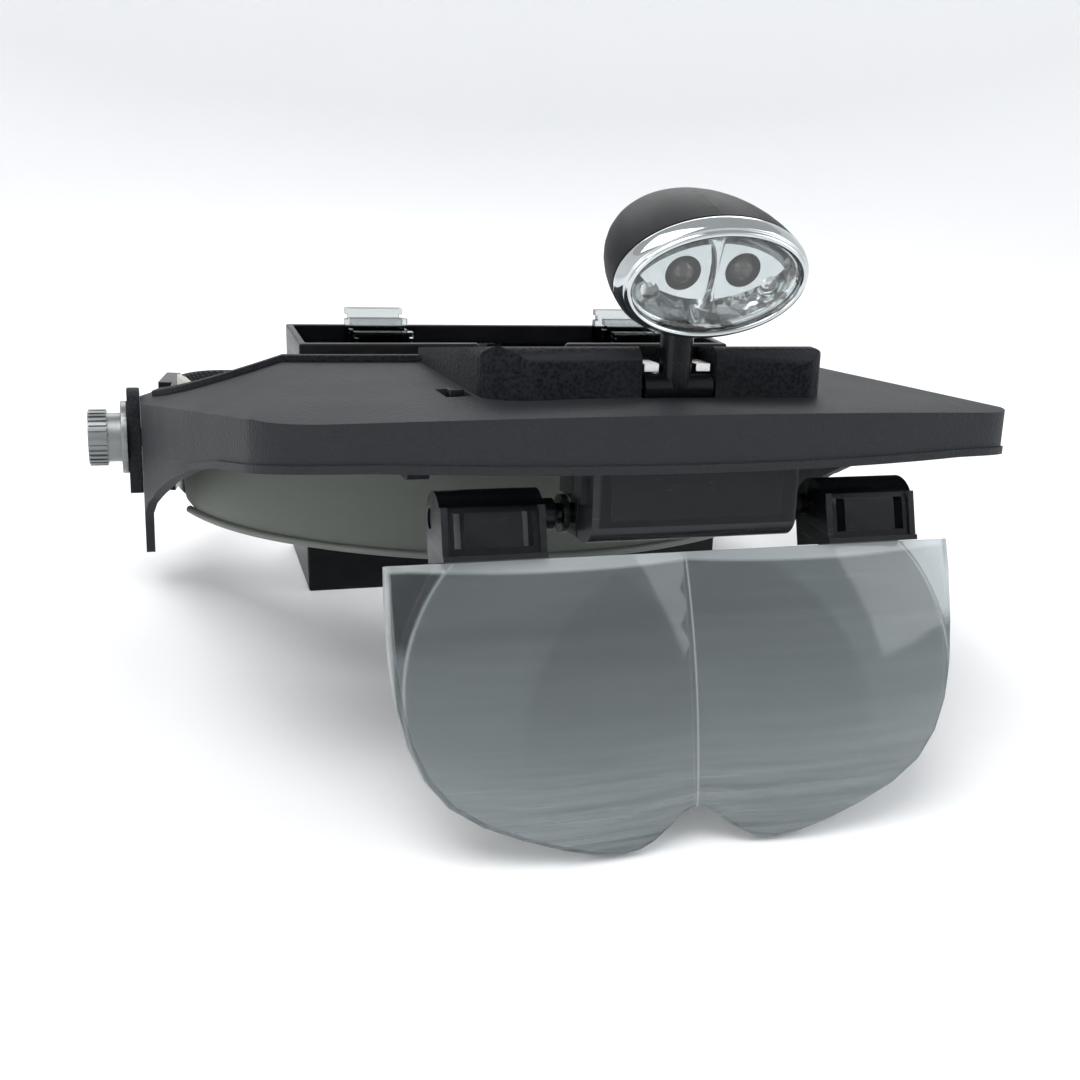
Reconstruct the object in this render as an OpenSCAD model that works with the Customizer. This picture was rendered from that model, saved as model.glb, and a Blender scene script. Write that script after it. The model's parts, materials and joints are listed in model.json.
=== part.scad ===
// Head visor magnifier with lamp, flip-down lens plate and a rear case for spare lens plates.
// Millimetres. X is across the head, -Y is the way the wearer looks, Z is up from the table.
// It stands as it is put down: on the two lobes of the lens plate and on the rear case.

/* [Lens plate] */
// Width of the clear lens plate, the size everything else is drawn to
plate_w = 110; // [100:1:116]
// Height of the plate from its straight top edge to the lobes
plate_h = 53.4; // [48:0.2:58]
// Thickness of the flange round the lenses
plate_t = 2.6; // [2:0.1:3.4]
// How far the mounted lens bulges out of the flange
dome_h = 5; // [2:0.2:7]
// Lean of the mounted plate, top edge away from the front
plate_lean = 20.28; // [0:0.1:30]
// Width of one clip tab
tab_w = 15.8; // [12:0.2:18]
// Height of one clip tab above the top edge
tab_h = 9.5; // [7:0.1:11]
// Distance between the middles of the two tabs
tab_pitch = 73; // [66:0.5:78]

/* [Visor] */
// Height of the temple pivots above the table
pivot_z = 40.3; // [36:0.1:46]
// Distance of the temple pivots behind the lens plate's top edge
pivot_y = 131.9; // [120:0.1:140]
// Nose-up angle of the visor as it is put down
visor_pitch = 4.2; // [0:0.1:10]
// Wall thickness of the visor shell
shell_t = 2.2; // [1.6:0.1:3]
// Top of the deck above the pivots at the middle
deck_z = 27.2; // [24:0.1:30]
// Front of the fascia ahead of the pivots
front_y = 141; // [130:0.5:150]
// Radius of the fascia's front curve
front_r = 190; // [150:5:260]
// Radius of the two front corners in plan
corner_r = 20; // [12:1:28]
// Half width at the front corners
corner_x = 76.5; // [70:0.5:84]
// Half width at the temples
temple_x = 93.5; // [88:0.5:98]

/* [Head ring] */
// Front of the forehead band behind the lens plate's top edge
brow_y = 69; // [64:0.5:76]
// Radius of the band's flat front arc
brow_r = 105; // [90:1:130]
// Angle to each side at which the tighter temple arc begins
brow_split = 38; // [30:1:50]
// Radius of the temple arcs
side_r = 62; // [54:1:72]
// Lower edge of the forehead band
band_z = 24; // [20:0.5:30]
// Height of the forehead band
band_h = 30; // [24:0.5:36]

/* [Lamp] */
// Sideways position of the lamp hinge
lamp_x = 2.6; // [-6:0.2:8]
// Half width of the lamp pod
pod_a = 18.1; // [17:0.1:22]
// Half height of the lamp pod
pod_b = 11.5; // [11:0.1:14]
// Depth of the pod behind its chrome ring
pod_d = 26; // [18:0.5:28]
// Downward tilt of the pod
pod_tilt = 20; // [0:1:30]
// Turn of the pod to the right
pod_turn = -2; // [-10:1:12]
// Roll of the pod, right end up
pod_roll = 3.5; // [0:0.5:8]
// Sideways offset of the pod on its neck
pod_x = 1; // [0:0.2:2]

/* [Rear case] */
// Sideways position of the case on the slack strap
case_x = 6; // [-8:0.5:8]
// Width of the case at the rim
case_w = 120; // [116:0.5:126]
// Height of the case
case_h = 65; // [58:0.5:72]
// Front of the case at the table
case_y = 120; // [112:0.5:130]
// Back of the case
case_back = 158; // [150:0.5:164]
// Distance between stored plates
store_pitch = 8.6; // [7:0.2:10]

/* [View] */
// Sub-part to show, or all of them

/* [Hidden] */
$fn = 64;
// Puts the middle of the whole object's length on the origin
y_shift = -79.2;
cell_r = 5.25;
cell_l = 44.5;
shaft_r = 1.9;
shaft_in = 3.8;
shaft_up = 8.05;
bolt_r = 2.4;
case_t = 2;
strap_h = 25;
strap_t = 1.6;
deck_slope = 0.113;
box_rise = 9.2;
box_front = 120.6;
box_x0 = -34;
box_x1 = 33.6;
lid_x = 30;
well_x = 28.6;
tray_floor = 19.1;
lid_y0 = -106;
lid_y1 = -80.5;
lamp_y = -118.2;
lamp_z = deck_z + 1.6;
slot_w = 15;
drum_r = 2.8;
led_x = 5.6;
led_z = 1.2;
strap_z = 35.5;

// ---------------------------------------------------------------- frames

// Whole object, moved so that the origin is under its middle
module placed() translate([0, y_shift, 0]) children();

// Visor frame: origin on the temple pivot axis, deck level
module visor_frame()
  placed() translate([0, pivot_y, pivot_z]) rotate([-visor_pitch, 0, 0]) children();

plate_top_z = plate_h * cos(plate_lean) + plate_t / 2 * sin(plate_lean);

// Plate frame: origin in the middle of the top edge, z up along the plate, -y out of its face
module plate_frame()
  placed() translate([0, 0, plate_top_z]) rotate([-plate_lean, 0, 0]) children();

// Lamp frame: origin on the hinge drum; the stem stands square to the deck
module lamp_frame()
  visor_frame() translate([lamp_x, lamp_y, lamp_z]) children();

// Height of the pod's middle up the stem, and its distance behind the window
pod_up = 26.1;
pod_mid = 12;
pod_lean = pod_tilt + visor_pitch;
neck_z = pod_up - 15.2;
neck_r = 3.3;

// Pod frame: origin on the stem axis in the middle of the pod, -y out of the window
module pod_frame()
  lamp_frame() translate([0, 0, pod_up]) rotate([pod_lean, -pod_roll, pod_turn])
    translate([pod_x, 0, 0]) children();

module both_sides() { children(); mirror([1, 0, 0]) children(); }

// Cylinder along x from x0 to x1
module rod_x(r, x0, x1) translate([x0, 0, 0]) rotate([0, 90, 0]) cylinder(r = r, h = x1 - x0);

// Prism along x of a profile drawn as [y, z]
module prism_x(w) rotate([90, 0, 90]) linear_extrude(w, center = true) children();

// ---------------------------------------------------------------- head ring

side_cx = (brow_r - side_r) * sin(brow_split);
side_cy = brow_y + brow_r - (brow_r - side_r) * cos(brow_split);
brow_cy = brow_y + brow_r;

// Sweeps a profile drawn as [distance outside the ring line, z] round the brow and temples
module ring_sweep(reach) {
  half = min(reach, brow_split);
  translate([0, brow_cy, 0])
    rotate_extrude(angle = 2 * half + 0.3, start = 269.85 - half) translate([brow_r, 0]) children();
  if (reach > brow_split) both_sides_ring(reach) children();
}

module both_sides_ring(reach) {
  for (m = [0, 1]) mirror([m, 0, 0]) translate([side_cx, side_cy, 0])
    rotate_extrude(angle = reach - brow_split, start = 270 + brow_split)
      translate([side_r, 0]) children();
}

// Flat area inside the ring line moved out by d
module ring_area(d) {
  translate([0, brow_cy]) intersection() {
    circle(brow_r + d, $fn = 180);
    polygon([[0, 0], for (a = [-brow_split, 0, brow_split])
      [2 * brow_r * sin(a), -2 * brow_r * cos(a)]]);
  }
  for (m = [0, 1]) mirror([m, 0]) translate([side_cx, side_cy]) circle(side_r + d, $fn = 120);
  translate([-side_cx - side_r - d, side_cy]) square([2 * (side_cx + side_r + d), 60]);
  translate([-side_cx, brow_cy - brow_r * cos(brow_split)]) square([2 * side_cx, 60]);
}

function pad_profile(t0, t1, z0, h, n = 12) = concat(
  [for (i = [0:n]) [t0 + (t1 - t0) * pow(sin(180 * i / n), 0.55), z0 + h * (1 - cos(180 * i / n)) / 2]],
  [[t0, z0 + h * 0.5]]);

module band_core() color([0.06, 0.06, 0.065]) placed() difference() {
  ring_sweep(104) translate([-4.4, band_z + 3]) square([1.6, band_h - 6]);
  both_sides() translate([0, pivot_y, pivot_z]) rod_x(bolt_r, 70, 100);
}

module brow_pad() color([0.35, 0.37, 0.35]) placed() ring_sweep(73) {
  polygon(pad_profile(-2.8, 0, band_z, band_h));
  translate([-2.8, band_z]) square([1.5, 2.2]);
}

module sweat_pad() color([0.72, 0.70, 0.64]) placed() difference() {
  ring_sweep(92) polygon([for (p = pad_profile(4.4, 8.8, band_z + 2.6, band_h)) [-p[0], p[1]]]);
  both_sides() translate([0, pivot_y, pivot_z]) rod_x(6.6, 70, 90);
}

band_x = side_cx + side_r * cos(asin((pivot_y - side_cy) / side_r));

module pivot_bolt() placed() translate([0, pivot_y, pivot_z]) {
  rod_x(5.8, band_x - 8, band_x - 5.4);
  rod_x(bolt_r, band_x - 5.5, 103.6);
}
module pivot_bolt_right() color([0.75, 0.75, 0.76]) pivot_bolt();
module pivot_bolt_left() color([0.75, 0.75, 0.76]) mirror([1, 0, 0]) pivot_bolt();

module spacer() placed() translate([0, pivot_y, pivot_z]) difference() {
  rod_x(7.6, band_x - 1.8, temple_x - shell_t - 0.1);
  rod_x(bolt_r, 70, 100);
}
module spacer_right() color([0.08, 0.08, 0.08]) spacer();
module spacer_left() color([0.08, 0.08, 0.08]) mirror([1, 0, 0]) spacer();

// Frame buckle riveted to the band's end; the strap runs through its slot
buckle_y = side_cy + 13.5;
module band_buckle() placed() translate([side_cx + side_r - 2.3, buckle_y, strap_z])
  rotate([0, 0, 12]) difference() {
    translate([-1.9, -4, -strap_h / 2 - 2.6]) cube([3.6, 13, strap_h + 5.2]);
    translate([-3, 2.4, -strap_h / 2 - 0.6]) cube([6, 3.6, strap_h + 1.2]);
    translate([-3, -5, -strap_h / 2 - 0.5]) cube([2.3, 6.2, strap_h + 1]);
  }
module band_buckle_right() color([0.05, 0.05, 0.05]) band_buckle();
module band_buckle_left() color([0.05, 0.05, 0.05]) mirror([1, 0, 0]) band_buckle();

// ---------------------------------------------------------------- visor shell

// Corner circle middles and the points where the fascia curve and sides leave them
cc_x = corner_x - corner_r;
front_o = front_r - front_y;
cc_y = front_o - sqrt(pow(front_r - corner_r, 2) - cc_x * cc_x);
seam_y = front_o + (cc_y - front_o) * front_r / (front_r - corner_r);
seam_x = cc_x * front_r / (front_r - corner_r);
arm_y0 = -14;
arm_dx = temple_x - cc_x;
arm_dy = arm_y0 - cc_y;
arm_turn = atan2(arm_dy, arm_dx) - acos(corner_r / norm([arm_dx, arm_dy]));

// Plan of the visor, moved inwards by t
module visor_plan(t) {
  intersection() {
    translate([0, front_o]) circle(front_r - t, $fn = 240);
    translate([-seam_x, -front_y - 5]) square([2 * seam_x, seam_y + front_y + 5.01]);
  }
  for (m = [0, 1]) mirror([m, 0]) {
    translate([cc_x, cc_y]) circle(corner_r - t, $fn = 96);
    polygon([
      [-0.01, seam_y - 0.01], [seam_x - t * cc_x / (front_r - corner_r), seam_y + t * 0.94],
      [cc_x, cc_y],
      [cc_x + (corner_r - t) * cos(arm_turn), cc_y + (corner_r - t) * sin(arm_turn)],
      [temple_x - t, arm_y0], [temple_x - t, 14], [-0.01, 14]
    ]);
  }
}

crown_r = 850;
bevel = 0.4;
bevel_y = -0.0575;
ridge_z = 23.4;

// Solid under the visor's top surface, moved inwards by t and up by dz
module visor_solid(t, dz) intersection() {
  translate([0, 0, -45]) linear_extrude(95) visor_plan(t);
  rotate([90, 0, 0]) linear_extrude(400, center = true) polygon(concat(
    [for (x = [-105:7:105]) [x, deck_z + dz - x * x / (2 * crown_r)]], [[105, -60], [-105, -60]]));
  bevel_side(dz);
  mirror([1, 0, 0]) bevel_side(dz);
}

// Half space under the plane in which the deck falls away to one temple
module bevel_side(dz) translate([corner_x, -117.7, ridge_z + dz])
  rotate([0, atan(bevel), 0]) rotate([atan(bevel_y * cos(atan(bevel))), 0, 0])
    translate([-260, -120, -160]) cube([400, 400, 160]);

lower_edge = [
  [-150, 17.4], [-133, 16.8], [-121, 14.9], [-94, 10.5], [-71, 5.6], [-47.5, -1.5],
  [-28, -9.2], [-19, -13.2], [-9, -20.5], [-3.4, -29], [-1.8, -30.2], [3.4, -30.4],
  [5, -29.2], [8.6, -20], [11, -8], [11.6, 2], [9.8, 7.5], [5, 10.6]
];

module side_profile() prism_x(260) polygon(concat(lower_edge, [[-2, 60], [-150, 60]]));

lid_slope = atan(deck_slope);
function box_top(y) = deck_z + box_rise - (y + box_front) * deck_slope;

// Area of the deck taken up by the cells, cut through shell and housing
module cell_well() translate([-well_x, -105.4, 0]) cube([2 * well_x, 24.4, 60]);

module visor_shell() color([0.07, 0.07, 0.075]) visor_frame() difference() {
  union() {
    intersection() {
      difference() { visor_solid(0, 0); visor_solid(shell_t, -shell_t); }
      side_profile();
    }
    // Thin bead along the bottom edge of the fascia and skirts
    intersection() {
      difference() { visor_solid(-0.45, 5); visor_solid(1.4, 5); }
      prism_x(260) polygon(concat([for (i = [0:6]) lower_edge[i]],
        [for (i = [6:-1:0]) [lower_edge[i][0], lower_edge[i][1] + 1.5]]));
    }
  }
  translate([0, -pivot_y, -50]) linear_extrude(120) ring_area(2);
  cell_well();
  rod_x(bolt_r + 0.06, -100, 100);
  translate([-39.6, -111.6, 20]) cube([4.8, 10, 12]);
  translate([lamp_x - slot_w / 2, lamp_y - 3.4, lamp_z - 3.1]) cube([slot_w, 7, 10]);
  for (s = [-1, 1]) translate([s * 11, screw_y, 18]) cylinder(r = 1.3, h = 7.4);
}

// Upturned lip along the deck's rear edge
module rear_curb() color([0.07, 0.07, 0.075]) visor_frame() intersection() {
  difference() {
    visor_solid(0.8, 1.5);
    visor_solid(-2, 0);
    translate([box_x0 - 0.05, -box_front, 0]) cube([box_x1 - box_x0 + 0.1, 80, 80]);
  }
  translate([0, -pivot_y, 0]) linear_extrude(60) difference() { ring_area(4.2); ring_area(2.02); }
  translate([-100, -100, -20]) cube([200, 92, 80]);
}

module temple_plate() visor_frame() difference() {
  intersection() {
    translate([temple_x + 0.02, -7.4, -13.2]) cube([3.2, 14.8, 25.8]);
    union() {
      translate([0, 0, 5.2]) rod_x(7.4, 90, 100);
      translate([90, -7.4, -13.2]) cube([12, 14.8, 18.4]);
    }
  }
  rod_x(bolt_r + 0.06, 80, 100);
  translate([temple_x + 2.2, -5, -11]) cube([4, 10, 3]);
}
module temple_plate_right() color([0.05, 0.05, 0.05]) temple_plate();
module temple_plate_left() color([0.05, 0.05, 0.05]) mirror([1, 0, 0]) temple_plate();

// ---------------------------------------------------------------- battery housing

// Plan of the raised housing, moved inwards by t
module box_plan(t) difference() {
  union() {
    translate([box_x0 + t, -box_front + 9]) square([box_x1 - box_x0 - 2 * t, 66]);
    translate([box_x0 + 9, -box_front + t]) square([box_x1 - box_x0 - 14, 20]);
    translate([box_x0 + 9, -box_front + 9]) circle(9 - t);
    translate([box_x1 - 5, -box_front + 5]) circle(5 - t);
    translate([box_x1 - 5, -box_front + 5]) square([5 - t, 8]);
  }
  translate([0, -pivot_y]) ring_area(2 + t);
}

// Housing envelope with its front and end edges rounded over
module box_solid(t) intersection() {
  translate([0, 0, 10]) linear_extrude(40) box_plan(t);
  prism_x(100) polygon(concat(
    [[-box_front + t, 0]],
    [for (a = [180:-15:95]) [-box_front + t + 3.5 * (1 + cos(a)),
      box_top(-box_front) - t - 3.5 + 3.5 * sin(a)]],
    [[-50, box_top(-50) - t], [-50, 0]]));
  rotate([90, 0, 0]) linear_extrude(300, center = true) polygon(concat(
    [[box_x0 + t, 0]],
    [for (a = [180:-15:90]) [box_x0 + t + 3 * (1 + cos(a)), deck_z + box_rise - 3 - t + 3 * sin(a)]],
    [for (a = [90:-15:0]) [box_x1 - t - 4 + 4 * cos(a), deck_z + box_rise - 4 - t + 4 * sin(a)]],
    [[box_x1 - t, 0]]));
}

module battery_housing() color([0.07, 0.07, 0.075]) visor_frame() difference() {
  union() {
    difference() {
      box_solid(0);
      difference() { box_solid(2); translate([-50, -82.2, 0]) cube([100, 2.2, 60]); }
    }
    // Cradle round the lamp's slot
    intersection() {
      box_solid(0);
      translate([lamp_x - slot_w / 2 - 1.8, -box_front - 1, 20]) cube([slot_w + 3.6, 17, 30]);
    }
  }
  visor_solid(-5, 0.02);
  translate([-lid_x - 0.25, lid_y0 - 0.25, 20])
    cube([2 * lid_x + 0.5, lid_y1 - lid_y0 + 0.5, 40]);
  translate([lamp_x - slot_w / 2, -box_front - 5, 20]) cube([slot_w, 14.2, 30]);
  translate([lamp_x, lamp_y, lamp_z]) rod_x(1.25, -8.6, 8.6);
  // Channel for the lid's knuckles and bore for its pin
  translate([-lid_x - 0.25, lid_hinge[0] - 1.8, lid_hinge[1] - 1.8])
    cube([2 * lid_x + 0.5, 4, 12]);
  translate([0, lid_hinge[0], lid_hinge[1]]) rod_x(0.75, -32.4, 32.4);
}

// Tray that hangs below the deck and holds the two cells
module battery_tray() color([0.10, 0.10, 0.10]) visor_frame() difference() {
  translate([-30.2, -107, 17.6]) cube([60.4, 27.6, 6.8]);
  translate([0, 0, tray_floor]) cell_well();
}

cell_pos = [[-99.3, 26.0], [-87.5, 24.6]];

module cell(i) visor_frame() translate([0, cell_pos[i][0], cell_pos[i][1]]) mirror([i, 0, 0]) {
  rod_x(cell_r, -cell_l / 2, cell_l / 2 - 1.6);
  rod_x(1.9, cell_l / 2 - 1.7, cell_l / 2);
}
module cell_front() color([0.80, 0.55, 0.12]) cell(0);
module cell_rear() color([0.80, 0.55, 0.12]) cell(1);

// Contact spring: three flat coils on a back plate
module cell_spring() {
  translate([-cell_l / 2 - 5.4, 0, 0]) {
    translate([0, -4.5, -4.6]) cube([0.5, 9, 9.2]);
    rod_x(1.1, 0.4, 5.2);
    for (k = [0:2]) rod_x(3.9 - 0.7 * k, 0.9 + 1.6 * k, 1.7 + 1.6 * k);
  }
}
module cell_spring_front() color([0.8, 0.8, 0.8]) visor_frame()
  translate([0, cell_pos[0][0], cell_pos[0][1]]) cell_spring();
module cell_spring_rear() color([0.8, 0.8, 0.8]) visor_frame()
  translate([0, cell_pos[1][0], cell_pos[1][1]]) mirror([1, 0, 0]) cell_spring();

// Flat contact with a foot along the tray floor
module cell_plate(i) visor_frame() mirror([i, 0, 0])
  translate([cell_l / 2 + 0.1, cell_pos[i][0] - 4.5, tray_floor + 0.05]) {
    cube([0.5, 9, cell_pos[i][1] + 4.6 - tray_floor]);
    cube([well_x - cell_l / 2 - 0.2, 9, 0.5]);
  }
module cell_plate_front() color([0.8, 0.8, 0.8]) cell_plate(0);
module cell_plate_rear() color([0.8, 0.8, 0.8]) cell_plate(1);

lid_hinge = [lid_y1 + 1.1, box_top(lid_y1 + 1.1) - 1.9];

// Lid over the cells, hinged along its rear edge, with a snap tongue and finger grooves
module battery_lid() color([0.07, 0.07, 0.075]) visor_frame() difference() {
  union() {
    intersection() {
      translate([-lid_x, lid_y0, 20]) cube([2 * lid_x, lid_y1 - lid_y0 - 0.6, 30]);
      translate([0, -box_front, deck_z + box_rise]) rotate([-lid_slope, 0, 0])
        translate([-40, 0, -1.6]) cube([80, 60, 1.6]);
    }
    for (x = [-22, 8]) translate([0, lid_hinge[0], lid_hinge[1]]) rod_x(1.5, x, x + 14);
    for (x = [-22, 8]) translate([x, lid_hinge[0] - 2.6, lid_hinge[1] - 0.3]) cube([14, 2.6, 1.6]);
    translate([-6, lid_y0 + 0.6, box_top(lid_y0) - 4.2]) cube([12, 1, 3.2]);
  }
  translate([0, lid_hinge[0], lid_hinge[1]]) rod_x(0.8, -40, 40);
  for (k = [0:2]) translate([-7, lid_y0 + 3 + 2 * k, box_top(lid_y0 + 3 + 2 * k) - 0.5])
    cube([14, 0.9, 2]);
}

module lid_pin() color([0.75, 0.75, 0.76]) visor_frame()
  translate([0, lid_hinge[0], lid_hinge[1]]) rod_x(0.75, -32.4, 32.4);

module switch_knob() color([0.05, 0.05, 0.05]) visor_frame() {
  translate([-39.4, -111.2, deck_z - 4.4]) cube([4.4, 6.2, 2.6]);
  translate([-38.6, -109.8, deck_z - 2.4]) cube([2.8, 3.4, 2.6]);
  translate([-41, -111.2, deck_z - 5.2]) cube([7.6, 6.2, 0.9]);
}

// ---------------------------------------------------------------- lamp

// Sprung metal leaf that rides on the drum and feeds the lamp
module lamp_leaf() lamp_frame() translate([5.2, 0, 0]) {
  translate([-1.5, 6.38, -1.56]) cube([3, 0.4, 6.06]);
  translate([-1.5, -1.2, drum_r + 1.3]) cube([3, 7.9, 0.4]);
  translate([-1.5, -1.2, drum_r + 0.12]) cube([3, 0.4, 1.4]);
}
module lamp_leaf_right() color([0.85, 0.85, 0.85]) lamp_leaf();
module lamp_leaf_left() color([0.85, 0.85, 0.85]) translate([2 * lamp_x, 0, 0])
  mirror([1, 0, 0]) lamp_leaf();

module lamp_drum() color([0.03, 0.03, 0.03]) lamp_frame() {
  rod_x(drum_r, -6.8, 6.8);
  rod_x(1.2, -8.3, 8.3);
}

module lamp_stem() color([0.04, 0.04, 0.04]) lamp_frame() difference() {
  union() {
    cylinder(r = 3.1, h = neck_z - 0.1);
    translate([0, 0, neck_z - 0.2]) cylinder(r = 2.2, h = 5.6);
    // Snap lip that keeps the pod on
    translate([0, 0, neck_z + 5.3]) cylinder(r1 = 2.8, r2 = 2, h = 1);
  }
  rod_x(drum_r, -8, 8);
}

function ellipse(a, b, n = 72) = [for (i = [0:n - 1]) [a * cos(360 * i / n), b * sin(360 * i / n)]];

// Elliptical prism along y from y0 to y1
module oval_y(a, b, y0, y1) translate([0, y1, 0]) rotate([90, 0, 0])
  linear_extrude(y1 - y0) polygon(ellipse(a, b));

// Egg-shaped half solid behind the window plane with a straight rim of length h, shrunk by t
module pod_egg(t, h) translate([0, -pod_mid, 0]) hull() {
  oval_y(pod_a - t, pod_b - t, -h, 0);
  for (a = [7.5:7.5:89])
    oval_y((pod_a - t) * cos(a), (pod_b - t) * cos(a), (pod_d - t) * sin(a) - 0.01, (pod_d - t) * sin(a));
}

// Places its children on the stem axis, in the pod frame
module on_stem() translate([-pod_x, 0, 0]) rotate([-pod_lean, 0, 0]) rotate([0, pod_roll, 0])
  rotate([0, 0, -pod_turn]) translate([0, 0, -pod_up]) children();

module pod_shell(side) pod_frame() difference() {
  pod_egg(0, 0.3);
  pod_egg(1.6, 4);
  translate([side > 0 ? -49.98 : -0.02, -50, -50]) cube([50, 100, 100]);
  on_stem() cylinder(r = neck_r + 0.06, h = neck_z + 7.5);
}
module pod_shell_right() color([0.06, 0.06, 0.06]) pod_shell(1);
module pod_shell_left() color([0.06, 0.06, 0.06]) pod_shell(-1);

// Neck of the pod, a sleeve that turns on the stem's spigot
module pod_collar() color([0.05, 0.05, 0.05]) lamp_frame() translate([0, 0, neck_z])
  difference() {
    cylinder(r = neck_r, h = 5.2);
    translate([0, 0, -1]) cylinder(r = 2.26, h = 8);
  }

// Chrome ring: a band that narrows to the front lip, and a skirt inside the shell
module pod_bezel() color([0.85, 0.85, 0.86]) pod_frame() translate([0, -pod_mid, 0])
  difference() {
    union() {
      hull() {
        oval_y(pod_a + 0.2, pod_b + 0.2, -1.3, -0.35);
        oval_y(pod_a - 0.9, pod_b - 0.9, -4.4, -3.9);
      }
      oval_y(pod_a - 1.65, pod_b - 1.65, -1, 1.6);
    }
    oval_y(pod_a - 2.3, pod_b - 2.3, -10, 5);
  }

module pod_window() color([0.9, 0.95, 1, 0.3]) pod_frame() translate([0, -pod_mid, 0])
  oval_y(pod_a - 2.32, pod_b - 2.32, -3.9, -2.7);

// Chrome reflector: two round wells with a waisted divider between them
module pod_reflector() color([0.9, 0.9, 0.9]) pod_frame() translate([0, -pod_mid, 0])
  difference() {
    union() {
      oval_y(pod_a - 2.5, pod_b - 2.5, -2.2, 0.8);
      oval_y(pod_a - 5.5, pod_b - 5.5, 0.7, 4.6);
    }
    for (s = [-1, 1]) {
      translate([s * (led_x + 0.4), 3.9, led_z / 2]) rotate([90, 0, 0])
        cylinder(r1 = 3.6, r2 = 8.4, h = 6.4, $fn = 96);
      translate([s * led_x, 9, led_z]) rotate([90, 0, 0]) cylinder(r = 2.55, h = 12);
    }
  }

module led_board() color([0.1, 0.35, 0.15]) pod_frame() translate([0, -pod_mid, 0])
  translate([-10, 5.4, -4.5]) cube([20, 1.2, 9]);

// Light-emitting diode: round base and dome
module led(s) pod_frame() translate([s * led_x, 5.38 - pod_mid, led_z]) rotate([90, 0, 0])
  rotate_extrude() polygon(concat([[0, 0], [2.5, 0]],
    [for (a = [0:10:90]) [2.5 * cos(a), 4.4 + 2.5 * sin(a)]]));
module led_left() color([0.95, 0.95, 0.8]) led(-1);
module led_right() color([0.95, 0.95, 0.8]) led(1);

// ---------------------------------------------------------------- lens carrier

// Shaft middle in the plate frame is [0, shaft_in, shaft_up]; the same point in the visor frame
shaft_wy = shaft_up * sin(plate_lean) + shaft_in * cos(plate_lean) - pivot_y;
shaft_wz = plate_top_z + shaft_up * cos(plate_lean) - shaft_in * sin(plate_lean) - pivot_z;
shaft_vy = shaft_wy * cos(visor_pitch) - shaft_wz * sin(visor_pitch);
shaft_vz = shaft_wy * sin(visor_pitch) + shaft_wz * cos(visor_pitch);
screw_y = shaft_vy - 5.2;

// Round-bottomed block under the deck that the carrier's shaft turns in
module hanger_block() color([0.06, 0.06, 0.065]) visor_frame() difference() {
  intersection() {
    union() {
      translate([-19.6, shaft_vy - 11.6, shaft_vz + 1]) cube([39.2, 16.6, 24]);
      translate([0, shaft_vy, shaft_vz]) rod_x(4, -19.6, 19.6);
      translate([0, shaft_vy - 6.6, shaft_vz + 1.2]) rod_x(5, -19.6, 19.6);
      translate([0, shaft_vy + 1, shaft_vz]) rod_x(4, -19.6, 19.6);
      translate([-19.6, shaft_vy - 6.6, shaft_vz - 3.8]) cube([39.2, 7.6, 6]);
      // Two thin cheeks just proud of the block
      for (s = [-1, 1]) translate([s > 0 ? 19.5 : -20.7, shaft_vy - 8, shaft_vz + 3.4])
        cube([1.2, 12, 20]);
    }
    visor_solid(shell_t + 0.1, -shell_t - 0.02);
  }
  translate([0, shaft_vy, shaft_vz]) rod_x(shaft_r + 0.05, -30, 30);
  for (s = [-1, 1]) translate([s * 11, screw_y, 0]) {
    translate([0, 0, shaft_vz - 8]) cylinder(r = 1.3, h = 40);
    translate([0, 0, shaft_vz - 8]) cylinder(r = 2.6, h = 9.5);
  }
}

module hanger_screw(s) visor_frame() translate([s * 11, screw_y, shaft_vz]) difference() {
  union() {
    translate([0, 0, -1.0]) cylinder(r = 2.5, h = 2.5);
    cylinder(r = 1.25, h = 16);
  }
  for (a = [0, 90]) rotate([0, 0, a]) translate([-1.7, -0.3, -1.4]) cube([3.4, 0.6, 1.4]);
}
module hanger_screw_left() color([0.7, 0.7, 0.7]) hanger_screw(-1);
module hanger_screw_right() color([0.7, 0.7, 0.7]) hanger_screw(1);

// Chamfered block that the raised carrier comes to rest beside
module stop_block() visor_frame() intersection() {
  translate([44, -103, 11]) prism_x(4.6)
    polygon([[-6, 1.4], [-4.4, -1], [5, -1], [7, 2.4], [7, 30], [-6, 30]]);
  visor_solid(shell_t + 0.1, -shell_t - 0.02);
}
module stop_block_right() color([0.06, 0.06, 0.065]) stop_block();
module stop_block_left() color([0.06, 0.06, 0.065]) mirror([1, 0, 0]) stop_block();

module carrier_shaft() color([0.08, 0.08, 0.085]) plate_frame()
  translate([0, shaft_in, shaft_up]) {
    rod_x(shaft_r, -tab_pitch / 2 - 9, tab_pitch / 2 + 9);
    both_sides() {
      rod_x(3.5, 20.9, 22);
      rod_x(2.9, 23.4, 25.4);
    }
  }

// Clip on the shaft: rounded top, flat face with two windows on to the tab, lower lip
module clip() plate_frame() translate([tab_pitch / 2, 0, 0]) difference() {
  union() {
    prism_x(18.6) polygon(concat(
      [[7, 0.1], [-4.6, 0.1]],
      [for (a = [180:-12:0]) [1.2 + 5.8 * cos(a), 7 + 5.8 * sin(a)]]));
    translate([-9.3, -5.6, 0.1]) cube([18.6, 3, 1]);
    translate([-9.3, -5.05, 0.6]) cube([1.2, 1, 8.8]);
    translate([8.1, -5.05, 0.6]) cube([1.2, 1, 8.8]);
  }
  translate([-tab_w / 2 - 0.1, -plate_t / 2 - 0.1, -3])
    cube([tab_w + 0.2, plate_t + 0.2, tab_h + 3.15]);
  for (s = [-1, 1]) translate([s * 6.1 - 0.9, -8, 2.3]) cube([1.8, 8, 6.1]);
  translate([0, shaft_in, shaft_up]) rod_x(shaft_r, -12, 12);
}
module clip_right() color([0.06, 0.06, 0.065]) clip();
module clip_left() color([0.06, 0.06, 0.065]) mirror([1, 0, 0]) clip();

// ---------------------------------------------------------------- lens plates

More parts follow.
